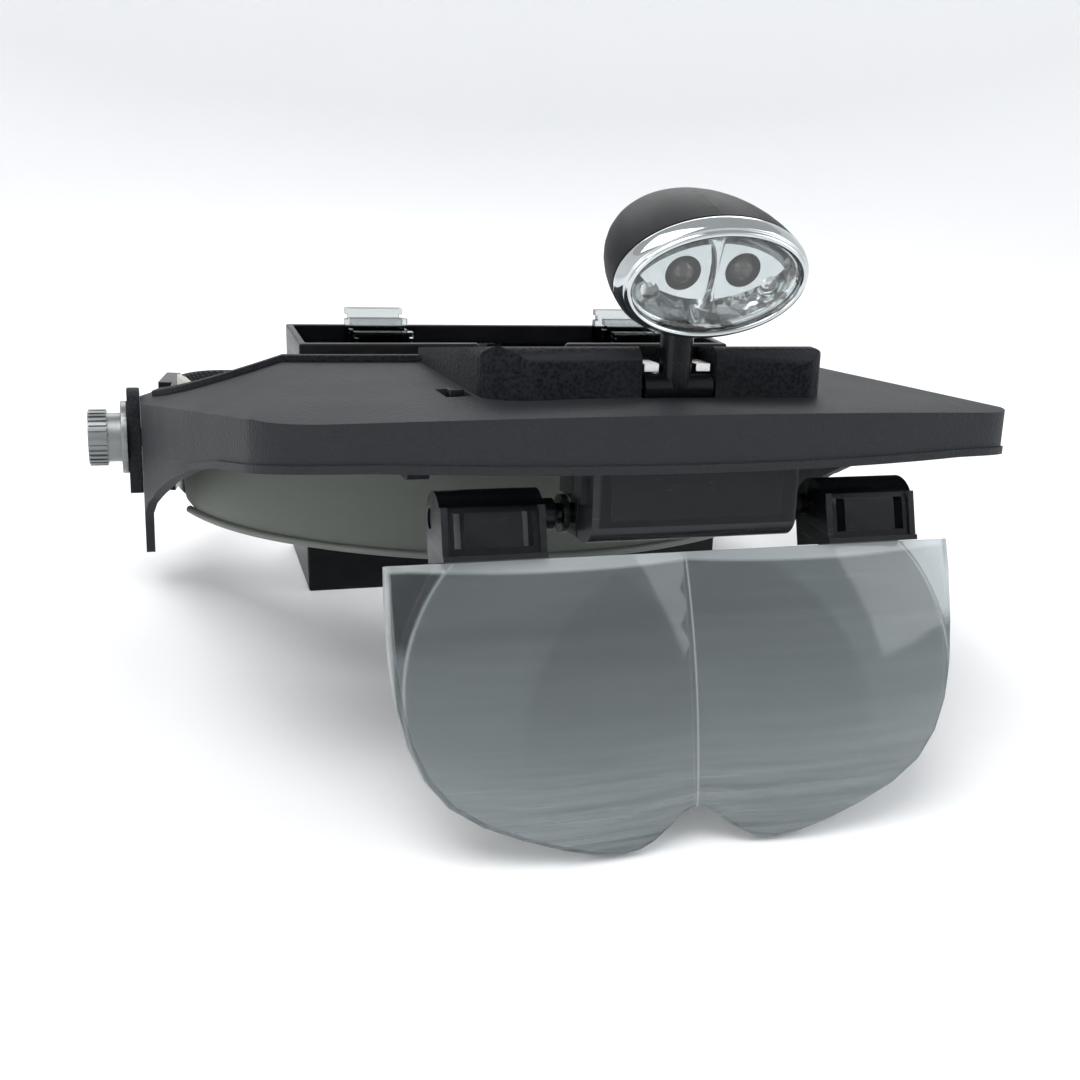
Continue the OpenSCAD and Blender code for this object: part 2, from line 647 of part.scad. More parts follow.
// Right half of the plate's outline, from the middle of the top edge down to the notch
half_outline = [
  [0, 0], [55, 0], [55.2, 6], [55, 16], [54.2, 24], [52.6, 31], [50, 37], [46, 42],
  [40, 46], [33, 49], [26, 51.4], [20, 52.9], [15, 53.4], [11.5, 52.9], [8.6, 51.6],
  [5.6, 49.4], [3, 47.4], [1.2, 46.5], [0, 46.3]
];

module plate_outline() scale(plate_w / 110) union() {
  polygon([for (p = half_outline) [p[0], -p[1]]]);
  mirror([1, 0]) polygon([for (p = half_outline) [p[0], -p[1]]]);
}

lens_r = 34;

// One clear plate: flange, two bulging lenses, two tabs with grip notches, one plain mark
module lens_body(bulge) {
  ball = (lens_r * lens_r + bulge * bulge) / (2 * bulge);
  rotate([90, 0, 0]) translate([0, 0, -plate_t / 2]) linear_extrude(plate_t) plate_outline();
  intersection() {
    both_sides() intersection() {
      translate([24.4, -plate_t / 2 + ball - bulge, -22.5]) sphere(ball, $fn = 360);
      translate([0, -20, -60]) cube([60, 40, 70]);
      translate([24.4, 0, -22.5]) rotate([90, 0, 0]) cylinder(r = lens_r, h = 20, $fn = 96);
    }
    rotate([90, 0, 0]) linear_extrude(20) scale([0.985, 0.985]) plate_outline();
  }
  for (s = [-1, 1]) difference() {
    translate([s * tab_pitch / 2 - tab_w / 2, -plate_t / 2, -0.5]) cube([tab_w, plate_t, tab_h + 0.5]);
    for (t = [-1, 1]) translate([s * tab_pitch / 2 + t * tab_w / 2 - 0.8, -3, tab_h - 3])
      cube([1.6, 6, 1.4]);
  }
  translate([-50, -plate_t / 2 - 0.35, -4.6]) cube([3.2, 0.5, 0.9]);
  translate([-50, -plate_t / 2 - 0.35, -6.4]) cube([2.2, 0.5, 0.9]);
}

module lens_plate() color([0.88, 0.94, 0.95, 0.35]) plate_frame() lens_body(dome_h);

store_y = [case_back - 21.6, case_back - 21.6 + store_pitch, case_back - 21.6 + 2 * store_pitch - 0.6];
store_z = [3.7, 5.9, 7.4];

module spare(i, bulge) placed()
  translate([case_x, store_y[i], store_z[i] + plate_h]) lens_body(bulge);
module spare_plate_front() color([0.88, 0.94, 0.95, 0.35]) spare(0, 4);
module spare_plate_middle() color([0.88, 0.94, 0.95, 0.35]) spare(1, 3.2);
module spare_plate_rear() color([0.88, 0.94, 0.95, 0.35]) spare(2, 2.4);

// ---------------------------------------------------------------- rear case and straps

case_low_w = case_w - 3;
case_slope = 8;

// Case envelope shrunk by t: front wall leans back, ends draw in slightly to the table
module case_solid(t, z0, z1) intersection() {
  translate([case_x, 0, z0]) linear_extrude(z1 - z0) translate([-case_w / 2 + t, case_y + t])
    square([case_w - 2 * t, case_back - case_y - 2 * t]);
  prism_x(300) polygon([[case_y + t, 0], [case_y + case_slope + t, case_h + 2],
    [case_back - t, case_h + 2], [case_back - t, 0]]);
  translate([case_x, 0, 0]) rotate([90, 0, 0]) linear_extrude(400, center = true)
    polygon([[-case_low_w / 2 + t, 0], [case_low_w / 2 - t, 0],
      [case_w / 2 - t, case_h + 2], [-case_w / 2 + t, case_h + 2]]);
}

module case_shell() color([0.05, 0.05, 0.055]) placed() difference() {
  union() {
    case_solid(0, 0, case_h);
    // Two strap bridges on the back
    for (s = [-1, 1]) translate([case_x + s * 47 - 2.5, case_back - 0.1, strap_z - strap_h / 2 - 3.4])
      cube([5, 4.4, strap_h + 6.8]);
  }
  case_solid(case_t, case_t, case_h + 3);
  for (s = [-1, 1]) translate([case_x + s * 47 - 4, case_back + 0.0, strap_z - strap_h / 2 - 0.4])
    cube([8, 2.4, strap_h + 0.8]);
  // Thumb scoop in the front rim
  translate([case_x, case_y + 8, case_h + 8]) rotate([90, 0, 0]) cylinder(r = 15, h = 30, center = true);
}

// Comb that keeps the stored plates apart and steps them up towards the back
module case_guide(s) placed() translate([case_x, 0, 0]) intersection() {
  union() for (i = [0:2]) {
    x0 = s > 0 ? 6 : -40;
    translate([x0, i == 0 ? case_y + 3 : store_y[i] - 4.2, case_t])
      cube([34, i == 0 ? store_y[0] + 4.3 - case_y - 3 : 8.4, store_z[i] - case_t - 0.05]);
    if (i < 2) translate([s > 0 ? case_w / 2 - 7 : -case_w / 2 + 2.6, store_y[i] + plate_t / 2 + 0.35, case_t])
      cube([4.4, 1.3, 46]);
    if (i < 2) translate([s > 0 ? 6 : -case_w / 2 + 2.6, store_y[i] + plate_t / 2 + 0.35, case_t])
      cube([case_w / 2 - 8.6, 3.3, 1.5]);
  }
  translate([-case_x, 0, 0]) case_solid(case_t + 0.02, case_t, case_h);
}
module case_guide_right() color([0.05, 0.05, 0.055]) case_guide(1);
module case_guide_left() color([0.05, 0.05, 0.055]) case_guide(-1);

module strap_band() translate([0, 0, strap_z - strap_h / 2]) linear_extrude(strap_h) children();

// Webbing that lies across the back of the case under the two bridges
module case_strap() color([0.04, 0.04, 0.04]) placed() strap_band()
  translate([case_x - 51.5, case_back + 0.35]) square([103, strap_t]);

// Slack webbing between the band's buckle and the back of the case, drawn along its middle line
module strap_side(end_x) {
  r = 13;
  x1 = side_cx + side_r - 4.6;
  y1 = buckle_y + 4;
  yc = case_back + 7;
  middle = concat([[x1, y1]],
    [for (a = [0:16:128]) [x1 - r + r * cos(a), yc + r * sin(a)]],
    [[end_x + 6, case_back + 1.9], [end_x, case_back + 1.15]]);
  n = len(middle);
  side = [for (i = [0:n - 1]) let (d = middle[min(i + 1, n - 1)] - middle[max(i - 1, 0)])
    [-d[1], d[0]] * strap_t / 2 / norm(d)];
  strap_band() polygon(concat([for (i = [0:n - 1]) middle[i] + side[i]],
    [for (i = [n - 1:-1:0]) middle[i] - side[i]]));
}
module strap_right() color([0.04, 0.04, 0.04]) placed() strap_side(case_x + 51.6);
module strap_left() color([0.04, 0.04, 0.04]) placed() mirror([1, 0, 0]) strap_side(-case_x + 51.6);

// ---------------------------------------------------------------- thumb nuts

module washer() visor_axis() difference() {
  rod_x(9.2, temple_x + 3.26, temple_x + 4.86);
  rod_x(bolt_r + 0.05, 80, 110);
}
module visor_axis() placed() translate([0, pivot_y, pivot_z]) children();
module washer_right() color([0.8, 0.8, 0.8]) washer();
module washer_left() color([0.8, 0.8, 0.8]) mirror([1, 0, 0]) washer();

module thumb_nut() visor_axis() difference() {
  union() {
    rod_x(6.2, temple_x + 4.9, temple_x + 8.2);
    rod_x(6.7, temple_x + 8.1, temple_x + 12.8);
    for (a = [0:12:359]) rotate([a, 0, 0]) translate([temple_x + 8.3, -0.35, 6.3])
      cube([4.3, 0.7, 0.85]);
  }
  rod_x(bolt_r + 0.05, 80, temple_x + 11);
  rod_x(3.2, temple_x + 12.2, 120);
}
module thumb_nut_right() color([0.8, 0.8, 0.8]) thumb_nut();
module thumb_nut_left() color([0.8, 0.8, 0.8]) mirror([1, 0, 0]) thumb_nut();

// ---------------------------------------------------------------- assembly

band_core();
brow_pad();
sweat_pad();
pivot_bolt_left();
pivot_bolt_right();
spacer_left();
spacer_right();
band_buckle_left();
band_buckle_right();
strap_left();
strap_right();
visor_shell();
rear_curb();
temple_plate_left();
temple_plate_right();
battery_housing();
battery_tray();
cell_front();
cell_rear();
cell_spring_front();
cell_spring_rear();
cell_plate_front();
cell_plate_rear();
lid_pin();
lamp_leaf_left();
lamp_leaf_right();
hanger_block();
hanger_screw_left();
hanger_screw_right();
stop_block_left();
stop_block_right();
battery_lid();
switch_knob();
lamp_drum();
lamp_stem();
pod_shell_left();
pod_shell_right();
pod_collar();
pod_bezel();
pod_window();
pod_reflector();
led_board();
led_left();
led_right();
carrier_shaft();
clip_left();
clip_right();
lens_plate();
washer_left();
washer_right();
thumb_nut_left();
thumb_nut_right();
case_shell();
case_guide_left();
case_guide_right();
case_strap();
spare_plate_front();
spare_plate_middle();
spare_plate_rear();
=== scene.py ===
"""Looks of the head visor magnifier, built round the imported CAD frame. Metres, +Z up."""

import json
import math

import bmesh
import bpy
from mathutils import Matrix, Vector


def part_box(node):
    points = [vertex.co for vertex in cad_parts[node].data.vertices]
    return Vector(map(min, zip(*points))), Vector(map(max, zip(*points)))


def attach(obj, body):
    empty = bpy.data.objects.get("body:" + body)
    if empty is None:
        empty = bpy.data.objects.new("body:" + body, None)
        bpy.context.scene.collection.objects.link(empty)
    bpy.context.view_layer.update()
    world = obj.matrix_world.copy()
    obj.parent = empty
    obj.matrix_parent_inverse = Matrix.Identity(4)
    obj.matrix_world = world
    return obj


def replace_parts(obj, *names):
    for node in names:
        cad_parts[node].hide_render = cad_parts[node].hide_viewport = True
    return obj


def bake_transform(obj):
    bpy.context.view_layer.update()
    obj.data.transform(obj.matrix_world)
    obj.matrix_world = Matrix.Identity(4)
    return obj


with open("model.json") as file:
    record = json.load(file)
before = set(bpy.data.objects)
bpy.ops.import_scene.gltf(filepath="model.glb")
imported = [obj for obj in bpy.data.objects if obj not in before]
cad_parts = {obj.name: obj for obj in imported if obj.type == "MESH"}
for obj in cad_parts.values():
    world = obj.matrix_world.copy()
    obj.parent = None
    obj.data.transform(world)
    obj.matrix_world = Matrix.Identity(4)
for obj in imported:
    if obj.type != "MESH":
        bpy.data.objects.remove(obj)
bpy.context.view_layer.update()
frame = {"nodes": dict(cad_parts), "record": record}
NODES = frame["nodes"]
SCENE = bpy.context.scene
MM = 0.001


# ---------------------------------------------------------------- camera, light and floor


CAMERA_PLACE = (-0.09357, -0.28528, 0.1271)
CAMERA_RIGHT = Vector((0.95602, -0.28835, 0.05367))
CAMERA_UP = Vector((0.04379, 0.32126, 0.94598))
LENS_MM, SENSOR_MM = 43.3, 36


def make_camera():
    """Camera to the left of the middle and a little above the deck, looking down at it."""
    cam = bpy.data.objects.new("camera", bpy.data.cameras.new("camera"))
    SCENE.collection.objects.link(cam)
    axes = Matrix((CAMERA_RIGHT, CAMERA_UP, CAMERA_RIGHT.cross(CAMERA_UP))).transposed()
    cam.matrix_world = Matrix.Translation(CAMERA_PLACE) @ axes.to_4x4()
    cam.data.lens = LENS_MM
    cam.data.sensor_width = SENSOR_MM
    cam.data.clip_start = 10 * MM
    SCENE.camera = cam


def area_light(name, place, target, size, power, colour=(1, 1, 1)):
    """Soft box at a place, turned to face its target; size in metres, power in watts."""
    data = bpy.data.lights.new(name, "AREA")
    data.shape = "RECTANGLE"
    data.size, data.size_y = size
    data.energy = power
    data.color = colour
    lamp = bpy.data.objects.new(name, data)
    SCENE.collection.objects.link(lamp)
    lamp.location = place
    lamp.rotation_euler = (Vector(target) - Vector(place)).to_track_quat("-Z", "Y").to_euler()


def make_studio():
    """A pale dish of a floor whose rim curves up all round, soft boxes and a pale world."""
    world = bpy.data.worlds.new("studio")
    world.use_nodes = True
    sky = world.node_tree.nodes["Background"]
    sky.inputs["Color"].default_value = (0.95, 0.97, 1, 1)
    sky.inputs["Strength"].default_value = 0.55
    SCENE.world = world
    floor_r, rim_r, rim_h, steps_round = 1.1, 0.5, 1.3, 96
    profile = [(0, 0), (floor_r * 0.5, 0), (floor_r, 0)]
    for degrees in range(10, 91, 10):
        a = math.radians(degrees)
        profile.append((floor_r + rim_r * math.sin(a), rim_r * (1 - math.cos(a))))
    profile.append((floor_r + rim_r, rim_h))
    floor = revolve("floor", profile, steps_round)
    for poly in floor.data.polygons:
        poly.use_smooth = True
    floor.data.materials.append(floor_material())
    area_light("key", place=(-0.35, -0.25, 0.95), target=(0, 0, 0.05), size=(0.8, 0.6), power=6.4)
    area_light("fill", place=(0.85, -0.55, 0.55), target=(0, 0, 0.05), size=(0.6, 0.7), power=3.0,
               colour=(0.95, 0.98, 1))
    area_light("front", place=(-0.75, -0.75, 0.35), target=(0, -0.03, 0.05), size=(0.5, 0.5),
               power=1.6)
    area_light("rear", place=(0.2, 0.9, 0.75), target=(0, 0, 0.06), size=(1.0, 0.5), power=4.5)
    SCENE.view_settings.view_transform = "Standard"
    SCENE.view_settings.look = "None"
    SCENE.view_settings.exposure = 0.0


# ---------------------------------------------------------------- mesh helpers


def new_object(name, verts, faces, smooth=True):
    """Object in the scene from points and faces, with its normals turned outwards."""
    mesh = bpy.data.meshes.new(name)
    mesh.from_pydata([tuple(v) for v in verts], [], faces)
    mesh.validate()
    obj = bpy.data.objects.new(name, mesh)
    SCENE.collection.objects.link(obj)
    work = bmesh.new()
    work.from_mesh(mesh)
    bmesh.ops.recalc_face_normals(work, faces=work.faces)
    work.to_mesh(mesh)
    work.free()
    for poly in mesh.polygons:
        poly.use_smooth = smooth
    return obj


def revolve(name, profile, steps):
    """Turns a profile of (radius, z) about the z axis; a radius of 0 closes to a point."""
    verts, rings, faces = [], [], []
    for r, z in profile:
        count = 1 if r == 0 else steps
        rings.append(range(len(verts), len(verts) + count))
        verts += [
            (r * math.cos(2 * math.pi * i / steps), r * math.sin(2 * math.pi * i / steps), z)
            for i in range(count)
        ]
    for a, b in zip(rings, rings[1:]):
        for i in range(steps):
            j = (i + 1) % steps
            face = [a[i % len(a)], a[j % len(a)], b[j % len(b)], b[i % len(b)]]
            faces.append(list(dict.fromkeys(face)))
    return new_object(name, verts, [f for f in faces if len(f) > 2])


def band_faces(near, far, n):
    """Quads between two closed loops of n points, given the number of each loop's first point."""
    return [[near + i, near + (i + 1) % n, far + (i + 1) % n, far + i] for i in range(n)]


def loft(name, loops):
    """Joins equal closed loops of points into one skin, with a fan cap on each end."""
    n = len(loops[0])
    verts = [p for loop in loops for p in loop]
    faces = []
    for k in range(len(loops) - 1):
        faces += band_faces(k * n, (k + 1) * n, n)
    for base in (0, (len(loops) - 1) * n):
        verts.append(sum((Vector(v) for v in verts[base : base + n]), Vector()) / n)
        faces += [[base + i, base + (i + 1) % n, len(verts) - 1] for i in range(n)]
    return new_object(name, verts, faces)


def ring(name, loops, smooth=True):
    """Joins equal closed loops of points one after the other and back to the first."""
    n = len(loops[0])
    faces = []
    for k in range(len(loops)):
        faces += band_faces(k * n, (k + 1) % len(loops) * n, n)
    return new_object(name, [p for loop in loops for p in loop], faces, smooth)


def apply_modifiers(obj):
    """Swaps the object's mesh for what its modifiers make of it."""
    depsgraph = bpy.context.evaluated_depsgraph_get()
    baked = bpy.data.meshes.new_from_object(obj.evaluated_get(depsgraph))
    obj.modifiers.clear()
    obj.data = baked


def soften_edges(obj, width, segments):
    """Rounds a moulded part's edges and smooths its curved walls."""
    weld = obj.modifiers.new("weld", "WELD")
    weld.merge_threshold = 0.01 * MM
    bevel = obj.modifiers.new("edge", "BEVEL")
    bevel.width = width
    bevel.segments = segments
    bevel.limit_method = "ANGLE"
    bevel.angle_limit = math.radians(32)
    bevel.miter_outer = "MITER_ARC"
    normal = obj.modifiers.new("normals", "WEIGHTED_NORMAL")
    normal.keep_sharp = True
    for poly in obj.data.polygons:
        poly.use_smooth = True


# ---------------------------------------------------------------- material helpers


class Shader:
    """A material's node tree with short ways to add what the finishes here need."""

    def __init__(self, name, **sockets):
        self.material = bpy.data.materials.new(name)
        self.material.use_nodes = True
        self.tree = self.material.node_tree
        self.bsdf = self.tree.nodes["Principled BSDF"]
        self.place = self.tree.nodes.new("ShaderNodeTexCoord").outputs["Object"]
        for socket, value in sockets.items():
            self.bsdf.inputs[socket.replace("_", " ")].default_value = value

    def link(self, source, target):
        self.tree.links.new(source, target)

    def stretched(self, scale):
        """Object coordinates scaled by axis: a pattern is drawn out along the smallest one."""
        node = self.tree.nodes.new("ShaderNodeMapping")
        node.inputs["Scale"].default_value = scale
        self.link(self.place, node.inputs["Vector"])
        return node.outputs["Vector"]

    def noise(self, scale, detail=3, roughness=0.55, place=None):
        node = self.tree.nodes.new("ShaderNodeTexNoise")
        node.inputs["Scale"].default_value = scale
        node.inputs["Detail"].default_value = detail
        node.inputs["Roughness"].default_value = roughness
        self.link(place or self.place, node.inputs["Vector"])
        return node.outputs["Fac"]

    def cells(self, scale):
        node = self.tree.nodes.new("ShaderNodeTexVoronoi")
        node.inputs["Scale"].default_value = scale
        self.link(self.place, node.inputs["Vector"])
        return node.outputs["Distance"]

    def wave(self, scale, direction, distortion=0.0):
        node = self.tree.nodes.new("ShaderNodeTexWave")
        node.bands_direction = direction
        node.inputs["Scale"].default_value = scale
        node.inputs["Distortion"].default_value = distortion
        self.link(self.place, node.inputs["Vector"])
        return node.outputs["Fac"]

    def math(self, operation, a, b=0.5):
        node = self.tree.nodes.new("ShaderNodeMath")
        node.operation = operation
        for socket, value in zip(node.inputs, (a, b)):
            if isinstance(value, (int, float)):
                socket.default_value = value
            else:
                self.link(value, socket)
        return node.outputs["Value"]

    def axis(self, name):
        node = self.tree.nodes.new("ShaderNodeSeparateXYZ")
        self.link(self.place, node.inputs["Vector"])
        return node.outputs[name]

    def span(self, value, low, high, to_low=0.0, to_high=1.0):
        """Carries a value from one range to another, held at both ends."""
        node = self.tree.nodes.new("ShaderNodeMapRange")
        for socket, number in zip(list(node.inputs)[1:5], (low, high, to_low, to_high)):
            socket.default_value = number
        self.link(value, node.inputs["Value"])
        return node.outputs["Result"]

    def edge_wear_and_highlight(self, low=0.52, high=0.6):
        """0 on flat stretches, rising to 1 on sharp outer edges."""
        node = self.tree.nodes.new("ShaderNodeNewGeometry")
        return self.span(node.outputs["Pointiness"], low, high)

    def blend(self, factor, first, second):
        """Mixes two colours, each a triple or another node's output."""
        node = self.tree.nodes.new("ShaderNodeMix")
        node.data_type = "RGBA"
        colours = [s for s in node.inputs if s.type == "RGBA"]
        for socket, value in zip(colours, (first, second)):
            if isinstance(value, tuple):
                socket.default_value = (*value, 1)
            else:
                self.link(value, socket)
        self.link(factor, node.inputs[0])
        return [s for s in node.outputs if s.type == "RGBA"][0]

    def colour(self, source):
        self.link(source, self.bsdf.inputs["Base Color"])

    def roughness(self, source, low, high):
        """Roughness that wanders between two values with a noise."""
        self.link(self.span(source, 0.25, 0.75, low, high), self.bsdf.inputs["Roughness"])

    def bump(self, *layers):
        """Adds (height, strength, distance) layers one after the other."""
        normal = None
        for height, strength, distance in layers:
            node = self.tree.nodes.new("ShaderNodeBump")
            node.inputs["Strength"].default_value = strength
            node.inputs["Distance"].default_value = distance
            self.link(height, node.inputs["Height"])
            if normal is not None:
                self.link(normal, node.inputs["Normal"])
            normal = node.outputs["Normal"]
        self.link(normal, self.bsdf.inputs["Normal"])


# ---------------------------------------------------------------- materials


def floor_material():
    """Pale matt ground with the faintest cloud in it."""
    s = Shader("pale_floor", Roughness=0.7)
    s.colour(s.blend(s.noise(6), (0.955, 0.96, 0.965), (0.975, 0.978, 0.98)))
    return s.material


def grained_plastic():
    """Black moulding with a fine pebble grain, paler where the grain catches on edges."""
    s = Shader("grained_black_plastic", IOR=1.16, Specular_IOR_Level=0.4)
    pebble = s.cells(1350)
    dust = s.noise(2600, 2)
    cloud = s.noise(24, 4)
    base = s.blend(s.span(cloud, 0.35, 0.7), (0.0042, 0.0052, 0.0068), (0.0072, 0.0084, 0.0104))
    base = s.blend(s.span(pebble, 0.25, 0.7, 0.0, 0.8), base, (0.0175, 0.0195, 0.0225))
    s.colour(s.blend(s.edge_wear_and_highlight(), base, (0.026, 0.028, 0.031)))
    s.roughness(cloud, 0.44, 0.56)
    s.bump((pebble, 0.7, 0.16 * MM), (dust, 0.5, 0.07 * MM))
    return s.material


def smooth_plastic(name, shade, low, high):
    """Black polished moulding with faint haze, fine scuffs and flow ripples."""
    s = Shader(name, IOR=1.28, Specular_IOR_Level=0.5)
    scuff = s.noise(160, 5, 0.7, s.stretched((1, 0.2, 3)))
    haze = tuple(c * 2.1 for c in shade)
    base = s.blend(s.span(scuff, 0.45, 0.8), shade, haze)
    s.colour(s.blend(s.edge_wear_and_highlight(), base, (0.022, 0.024, 0.027)))
    s.roughness(scuff, low, high)
    s.bump((s.noise(70, 2), 0.25, 0.08 * MM), (s.noise(1900, 2), 0.2, 0.03 * MM))
    return s.material


def pod_plastic():
    """Satin black of the lamp's egg, with a paint-like fine grain."""
    s = Shader("satin_pod_plastic", IOR=1.2, Specular_IOR_Level=0.4)
    fine = s.noise(3200, 3)
    cloud = s.noise(45, 3)
    s.colour(s.blend(s.span(cloud, 0.3, 0.7), (0.007, 0.0082, 0.0086), (0.011, 0.0126, 0.013)))
    s.roughness(cloud, 0.4, 0.5)
    s.bump((fine, 0.5, 0.06 * MM))
    return s.material


def chrome(name, hollow):
    """Bright plating with a faint cloud; in the hollow reflector it ripples and has painted dark
    reflections in patches.
    """
    s = Shader(name, Metallic=1.0)
    cloud = s.noise(120, 3)
    base = s.blend(cloud, (0.47, 0.505, 0.51), (0.66, 0.69, 0.695))
    if hollow:
        # Painted dark reflections in patches inside the reflector
        base = s.blend(s.span(s.noise(270, 3), 0.53, 0.6), base, (0.13, 0.13, 0.125))
        s.bump((s.noise(240, 2), 0.5, 0.6 * MM))
    else:
        s.bump((s.noise(260, 2), 0.15, 0.06 * MM))
    s.colour(base)
    s.roughness(s.noise(400, 2), 0.05, 0.12)
    return s.material


def acrylic(name, dark, light, z_low, z_high):
    """Clear moulded acrylic: light below and darker above, with faint flow streaks and smears."""
    s = Shader(name, IOR=1.49, Transmission_Weight=1.0)
    streak = s.noise(26, 4, 0.6, s.stretched((0.5, 1, 2.6)))
    height = s.span(s.axis("Z"), z_low, z_high)
    shade = s.math("ADD", s.math("MULTIPLY", height, 0.75), s.math("MULTIPLY", streak, 0.3))
    s.colour(s.blend(s.span(shade, 0.1, 0.95), light, dark))
    s.roughness(s.noise(60, 4), 0.01, 0.05)
    s.bump((streak, 0.12, 0.4 * MM))
    return s.material


# Marks on the lens plate, in millimetres from the middle and from the ground
PLATE_LEAN = 1.066  # length along the leaning plate for each unit of height
RIM_X, RIM_Z, RIM_R = 19.5, 29.4, 33.6  # circle of each lens's rim
SHADOW_MIDDLES = ((-32.4, 22.9), (0.4, 21.0))  # shaded discs whose edges show as arcs
SHADOW_R = 33.0


def distance_from(s, x, z, mirrored=False):
    """Distance in the leaning plate's face from a point given in millimetres."""
    across = s.math("ABSOLUTE", s.axis("X"), 0) if mirrored else s.axis("X")
    x = s.math("SUBTRACT", across, x * MM)
    z = s.math("MULTIPLY", s.math("SUBTRACT", s.axis("Z"), z * MM), PLATE_LEAN)
    squares = s.math("ADD", s.math("MULTIPLY", x, x), s.math("MULTIPLY", z, z))
    return s.math("SQRT", squares, 0)


def line_at(s, value, place, width):
    """1 where the value is close to a place, falling to 0 at the width."""
    off = s.math("ABSOLUTE", s.math("SUBTRACT", value, place), 0)
    return s.span(off, 0.0, width, 1.0, 0.0)


def lens_acrylic():
    """The mounted plate: smoky, with painted highlights on the lens rims, the seam between them and
    the polished edges, and painted reflections on the flat corners.
    """
    s = Shader("smoky_lens_acrylic", IOR=1.49, Transmission_Weight=0.62)
    streak = s.noise(30, 5, 0.65, s.stretched((0.35, 1, 3.4)))
    fine = s.noise(130, 4, 0.7, s.stretched((0.14, 1, 4.5)))
    height = s.span(s.axis("Z"), 4 * MM, PLATE_TOP)
    shade = s.math("ADD", s.math("MULTIPLY", height, 0.62), s.math("MULTIPLY", streak, 0.42))
    base = s.blend(s.span(shade, 0.12, 0.95), (0.33, 0.372, 0.38), (0.082, 0.10, 0.106))
    # Pale and dark flow streaks, strongest near the lower edge
    low = s.span(s.axis("Z"), 6 * MM, 20 * MM, 0.75, 0.12)
    base = s.blend(s.math("MULTIPLY", s.span(fine, 0.5, 0.7), low), base, (0.46, 0.50, 0.51))
    base = s.blend(s.math("MULTIPLY", s.span(fine, 0.48, 0.32), low), base, (0.13, 0.15, 0.155))
    # Shaded arcs, strongest in the upper half
    upper = s.span(s.axis("Z"), 16 * MM, 40 * MM)
    for x, z in SHADOW_MIDDLES:
        shadow = s.span(distance_from(s, x, z), SHADOW_R * MM, (SHADOW_R + 1) * MM, 0.34, 0.0)
        base = s.blend(s.math("MULTIPLY", shadow, upper), base, (0.07, 0.084, 0.088))
    # Flat corners outside the rims: painted reflections, dark on the left and bright on the right
    rim_distance = distance_from(s, RIM_X, RIM_Z, mirrored=True)
    corner = s.math("MULTIPLY", s.span(rim_distance, RIM_R * MM, (RIM_R + 0.6) * MM),
                    s.span(s.axis("Z"), 36 * MM, 39 * MM, 0, 0.85))
    side = s.span(s.axis("X"), -1 * MM, 1 * MM)
    base = s.blend(corner, base, s.blend(side, (0.025, 0.028, 0.03), (0.52, 0.58, 0.59)))
    # Painted highlights along the rims, the seam between the lenses, and the plate's polished sides
    # and top
    rim = s.math("MULTIPLY", line_at(s, rim_distance, RIM_R * MM, 0.45 * MM), 0.5)
    base = s.blend(rim, base, (0.62, 0.66, 0.67))
    seam = s.math("MULTIPLY", line_at(s, s.axis("X"), 0, 0.32 * MM), 0.7)
    base = s.blend(seam, base, (0.66, 0.72, 0.73))
    sides = s.span(s.math("ABSOLUTE", s.axis("X"), 0), 54.0 * MM, 54.7 * MM, 0.0, 0.8)
    base = s.blend(sides, base, (0.72, 0.77, 0.78))
    top = s.span(s.axis("Z"), 49.5 * MM, 50.1 * MM, 0.0, 0.8)
    base = s.blend(top, base, (0.70, 0.75, 0.76))
    # Painted highlight on the plate's sharp edges
    s.colour(s.blend(s.edge_wear_and_highlight(0.53, 0.6), base, (0.75, 0.79, 0.80)))
    s.roughness(streak, 0.03, 0.10)
    s.bump((rim, 0.5, 0.3 * MM), (streak, 0.15, 0.4 * MM))
    return s.material


def steel(name, grain, low, high, shade=(0.60, 0.61, 0.61)):
    """Turned or rolled steel with fine tool lines drawn out along one axis."""
    s = Shader(name, Metallic=1.0)
    lines = s.noise(900, 3, 0.6, s.stretched(grain))
    cloud = s.noise(90, 3)
    s.colour(s.blend(cloud, shade, tuple(min(1, c * 1.3) for c in shade)))
    s.roughness(cloud, low, high)
    s.bump((lines, 0.35, 0.08 * MM))
    return s.material


def leatherette():
    """Smooth grey-green covering with a very fine pore, paler where it is stretched."""
    s = Shader("grey_green_leatherette", Specular_IOR_Level=0.35, Sheen_Weight=0.15)
    pore = s.cells(1500)
    crease = s.noise(38, 5, 0.6, s.stretched((1, 1, 2.5)))
    base = s.blend(crease, (0.098, 0.110, 0.096), (0.135, 0.148, 0.132))
    s.colour(s.blend(s.edge_wear_and_highlight(0.51, 0.6), base, (0.19, 0.20, 0.185)))
    s.roughness(crease, 0.48, 0.62)
    s.bump((crease, 0.3, 0.5 * MM), (pore, 0.35, 0.07 * MM))
    return s.material


def leatherette_hem():
    """Rolled edge of the covering: paler and a little more polished."""
    s = Shader("leatherette_hem", Specular_IOR_Level=0.4)
    crease = s.noise(60, 4)
    s.colour(s.blend(crease, (0.15, 0.162, 0.148), (0.20, 0.212, 0.195)))
    s.roughness(crease, 0.4, 0.52)
    s.bump((s.noise(420, 3), 0.3, 0.1 * MM))
    return s.material


def knitted_foam():
    """Cream knit over foam: crossed ribs with a little fuzz."""
    s = Shader("cream_knit", Roughness=0.9, Sheen_Weight=0.4)
    rib = s.math("MULTIPLY", s.wave(520, "Z"), s.wave(520, "X", 0.6))
    cloud = s.noise(40, 4)
    base = s.blend(cloud, (0.48, 0.46, 0.40), (0.60, 0.58, 0.52))
    s.colour(s.blend(s.span(rib, 0, 0.9, 0, 0.5), base, (0.34, 0.32, 0.28)))
    s.bump((rib, 0.6, 0.25 * MM), (s.noise(1400, 2), 0.4, 0.1 * MM))
    return s.material


